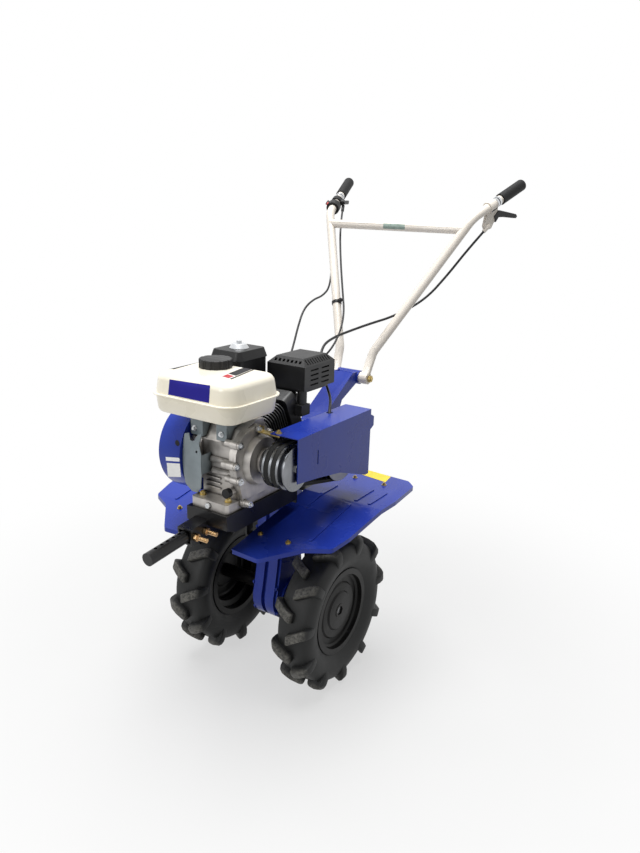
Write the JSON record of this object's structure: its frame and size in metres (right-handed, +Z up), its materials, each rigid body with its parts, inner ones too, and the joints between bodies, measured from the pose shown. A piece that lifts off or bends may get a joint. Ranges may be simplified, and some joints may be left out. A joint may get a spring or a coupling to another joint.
{
  "type": "power tiller",
  "caption": "Walking power tiller on two lugged wheels, with a small petrol engine in front of a tall chain case, a belt guard, side fenders and raised handles on a folded column.",
  "frame": {"origin": "on the floor under the middle of the machine's bounding box", "axes": "+X to the machine's left, where the belts run, +Y to its rear, where the operator walks, +Z up"},
  "size_m": [0.6392, 1.3232, 1.331],
  "materials": {
    "tyre_rubber": "matt moulded rubber",
    "wheel_black": "semi-gloss black paint",
    "steel_shaft": "turned steel",
    "zinc_bolts": "yellow zinc",
    "blue_paint": "gloss royal blue paint",
    "black_paint": "gloss black paint",
    "cast_aluminium": "raw die casting",
    "black_casting": "black finned casting",
    "grey_paint": "satin grey paint",
    "heat_black": "heat-proof satin black",
    "cream_paint": "gloss cream paint",
    "black_plastic": "moulded black plastic",
    "white_plastic": "white plastic dome",
    "black_rubber": "black rubber"
  },
  "bodies": {
    "chassis": {"hitch_pin": "steel_shaft", "clamp_bolts": "zinc_bolts", "pivot_bolt": "zinc_bolts", "guard_strap": "zinc_bolts", "case_half_left": "blue_paint", "case_half_right": "blue_paint", "case_spacer": "blue_paint", "handlebar_column": "blue_paint", "blower_housing": "blue_paint", "recoil_starter": "blue_paint", "belt_guard": "blue_paint", "fender_left": "blue_paint", "fender_right": "blue_paint", "fender_bracket_left": "black_paint", "fender_bracket_right": "black_paint", "engine_frame": "black_paint", "front_clamp": "black_paint", "front_bar": "black_paint", "guard_bracket": "black_paint", "rear_hitch": "black_paint", "depth_stake": "black_paint", "tank_brackets": "black_paint", "valve_cover": "black_paint", "crankcase": "cast_aluminium", "side_cover": "cast_aluminium", "carburettor": "cast_aluminium", "cylinder": "black_casting", "shroud": "grey_paint", "muffler": "heat_black", "muffler_guard": "heat_black", "fuel_tank": "cream_paint", "fuel_cap": "black_plastic", "air_cleaner": "black_plastic", "oil_plugs": "black_plastic", "starter_grip": "black_plastic", "air_cleaner_knob": "white_plastic", "v_belts": "black_rubber"},
    "wheel_set": {"tyre_left": "tyre_rubber", "tyre_right": "tyre_rubber", "rim_left": "wheel_black", "rim_right": "wheel_black", "wheel_hub_left": "wheel_black", "wheel_hub_right": "wheel_black", "axle_shaft": "steel_shaft", "hub_pins": "zinc_bolts"},
    "handlebar": {"handle_arm_left": "cream_paint", "handle_arm_right": "cream_paint", "grip_left": "black_rubber", "grip_right": "black_rubber", "handle_crossbar": "cream_paint", "clutch_lever": "black_plastic", "throttle_lever": "black_plastic", "kill_switch": "black_plastic", "clutch_cable": "black_rubber", "throttle_cable": "black_rubber", "stop_cable": "black_rubber"},
    "engine_pulley": {"engine_pulley": "steel_shaft", "crankshaft": "steel_shaft"},
    "driven_pulley": {"driven_pulley": "steel_shaft", "input_shaft": "steel_shaft"}
  },
  "joints": [
    {"name": "wheel_spin", "type": "hinge", "parent": "chassis", "child": "wheel_set", "pos_m": [0, -0.1467, 0.212], "axis": [1, 0, 0], "continuous": true},
    {"name": "handle_tilt", "type": "hinge", "parent": "chassis", "child": "handlebar", "pos_m": [0, 0.1953, 0.761], "axis": [1, 0, 0], "range_deg": [-25, 10], "deforming": ["clutch_cable", "throttle_cable", "stop_cable"]},
    {"name": "engine_pulley_spin", "type": "hinge", "parent": "chassis", "child": "engine_pulley", "pos_m": [0.18, -0.3797, 0.682], "axis": [1, 0, 0], "continuous": true},
    {"name": "driven_pulley_spin", "type": "hinge", "parent": "chassis", "child": "driven_pulley", "pos_m": [0.17, -0.1527, 0.657], "axis": [1, 0, 0], "continuous": true}
  ],
  "couplings": [
    {"joint": "driven_pulley_spin", "follows": "engine_pulley_spin", "ratio": 0.7027}
  ]
}
